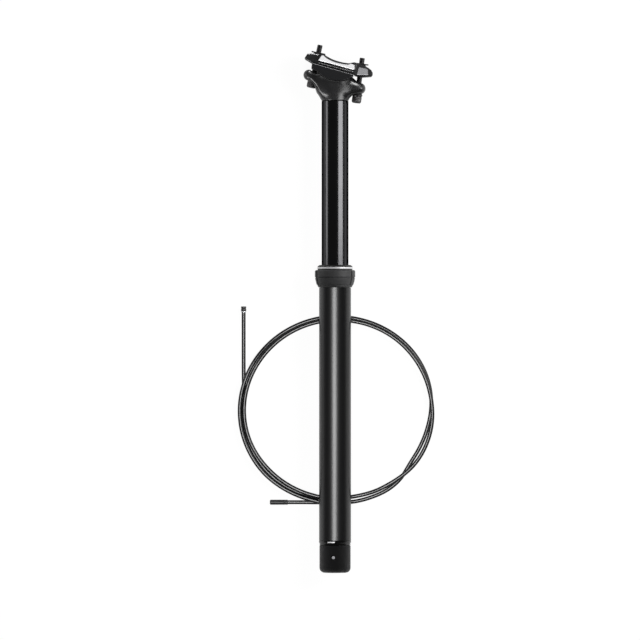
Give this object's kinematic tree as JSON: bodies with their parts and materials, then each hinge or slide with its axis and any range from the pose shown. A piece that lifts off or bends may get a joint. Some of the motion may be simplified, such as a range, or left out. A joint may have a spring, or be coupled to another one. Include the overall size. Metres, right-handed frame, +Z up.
{
  "type": "dropper seatpost",
  "caption": "Black bicycle dropper seatpost lying on its side with a two-bolt saddle rail clamp, a wide seal collar and a round bundle of black control housing under it.",
  "frame": {"origin": "On the post's axis at the insertion line, which is the underside of the collar", "axes": "+Y along the post to the saddle clamp, +X to the front of the bicycle, +Z up from the surface it lies on, which is the post's right side"},
  "size_m": [0.1965, 0.5232, 0.0498],
  "materials": {
    "tube_black": "satin",
    "stanchion_black": "gloss",
    "clamp_black": "satin",
    "collar_black": "satin",
    "seal_rubber": "matte",
    "bright_steel": "polished",
    "black_steel": "satin",
    "alloy": "satin",
    "brass": "satin",
    "slide_plastic": "matte",
    "housing_plastic": "gloss",
    "ferrule_plastic": "satin"
  },
  "bodies": {
    "fixed_tube": {"outer_tube": "tube_black", "collar": "collar_black", "upper_bushing": "slide_plastic", "wiper_seal": "seal_rubber", "seal_ring": "bright_steel", "foot_plug": "clamp_black", "bottom_out_bumper": "seal_rubber", "actuator_housing": "tube_black", "actuator_screws": "black_steel", "lever_pivot_pin": "bright_steel", "valve_spring": "bright_steel", "piston_rod": "bright_steel", "rod_lock_nut": "alloy", "gas_piston": "brass", "piston_seal": "seal_rubber", "piston_nut": "bright_steel", "housing_coil": "housing_plastic", "housing_upper_end": "housing_plastic", "housing_lower_end": "housing_plastic", "upper_end_cap": "ferrule_plastic", "upper_end_ring": "bright_steel", "lower_end_ferrule": "ferrule_plastic"},
    "sliding_post": {"stanchion": "stanchion_black", "post_head": "clamp_black", "lower_bushing": "slide_plastic", "lower_retaining_ring": "bright_steel", "anti_rotation_keys": "brass", "cartridge_tube": "alloy", "cartridge_spacer": "ferrule_plastic", "cartridge_seal_head": "brass", "top_out_bumper": "seal_rubber", "cartridge_cap": "alloy", "fill_valve": "brass"},
    "gas_divider": {"floating_piston": "alloy", "floating_piston_seal": "seal_rubber"},
    "release_lever": {"actuator_lever": "alloy", "cable_barrel": "brass", "cable_grub_screw": "black_steel"},
    "release_pin": {"valve_pin": "bright_steel"},
    "rail_clamp": {"lower_cradle": "clamp_black", "upper_clamp": "clamp_black"},
    "rear_bolt": {"rear_clamp_bolt": "black_steel", "rear_ball_washer": "black_steel"},
    "front_bolt": {"front_clamp_bolt": "black_steel", "front_ball_washer": "black_steel"},
    "rear_nut": {"rear_clamp_nut": "black_steel"},
    "front_nut": {"front_clamp_nut": "black_steel"}
  },
  "joints": [
    {"name": "post_drop", "type": "slide", "parent": "fixed_tube", "child": "sliding_post", "axis": [0, -1, 0], "range_m": [0, 0.15]},
    {"name": "gas_divider_slide", "type": "slide", "parent": "sliding_post", "child": "gas_divider", "axis": [0, 1, 0], "range_m": [0, 0.0336]},
    {"name": "lever_swing", "type": "hinge", "parent": "fixed_tube", "child": "release_lever", "pos_m": [-0.0016, -0.2669, 0], "axis": [0, 0, 1], "range_deg": [0, 20]},
    {"name": "release_pin_slide", "type": "slide", "parent": "fixed_tube", "child": "release_pin", "axis": [0, 1, 0], "range_m": [0, 0.00136], "stiffness_N_per_m": 1500, "deforming": ["valve_spring"]},
    {"name": "clamp_tilt", "type": "hinge", "parent": "sliding_post", "child": "rail_clamp", "pos_m": [0.0027, 0.2309, 0], "axis": [0, 0, 1], "range_deg": [-4, 4]},
    {"name": "rear_bolt_swing", "type": "hinge", "parent": "sliding_post", "child": "rear_bolt", "pos_m": [-0.0225, 0.2043, 0], "axis": [0, 0, 1], "range_deg": [-1, 1]},
    {"name": "front_bolt_swing", "type": "hinge", "parent": "sliding_post", "child": "front_bolt", "pos_m": [0.0218, 0.1893, 0], "axis": [0, 0, 1], "range_deg": [-1.4, 1.4]},
    {"name": "rear_nut_turn", "type": "hinge", "parent": "rail_clamp", "child": "rear_nut", "pos_m": [-0.01715, 0.22922, 0], "axis": [0, 0, 1], "range_deg": [-5.1, 5.1]},
    {"name": "front_nut_turn", "type": "hinge", "parent": "rail_clamp", "child": "front_nut", "pos_m": [0.02574, 0.21812, 0], "axis": [0, 0, 1], "range_deg": [-5.5, 5.5]}
  ],
  "couplings": [
    {"joint": "gas_divider_slide", "follows": "post_drop", "ratio": 0.22145},
    {"joint": "lever_swing", "follows": "release_pin_slide", "rad_per_m": 256.4},
    {"joint": "rear_bolt_swing", "follows": "clamp_tilt", "ratio": -0.2281},
    {"joint": "front_bolt_swing", "follows": "clamp_tilt", "ratio": -0.3278},
    {"joint": "rear_nut_turn", "follows": "clamp_tilt", "ratio": -1.2281},
    {"joint": "front_nut_turn", "follows": "clamp_tilt", "ratio": -1.3278}
  ]
}
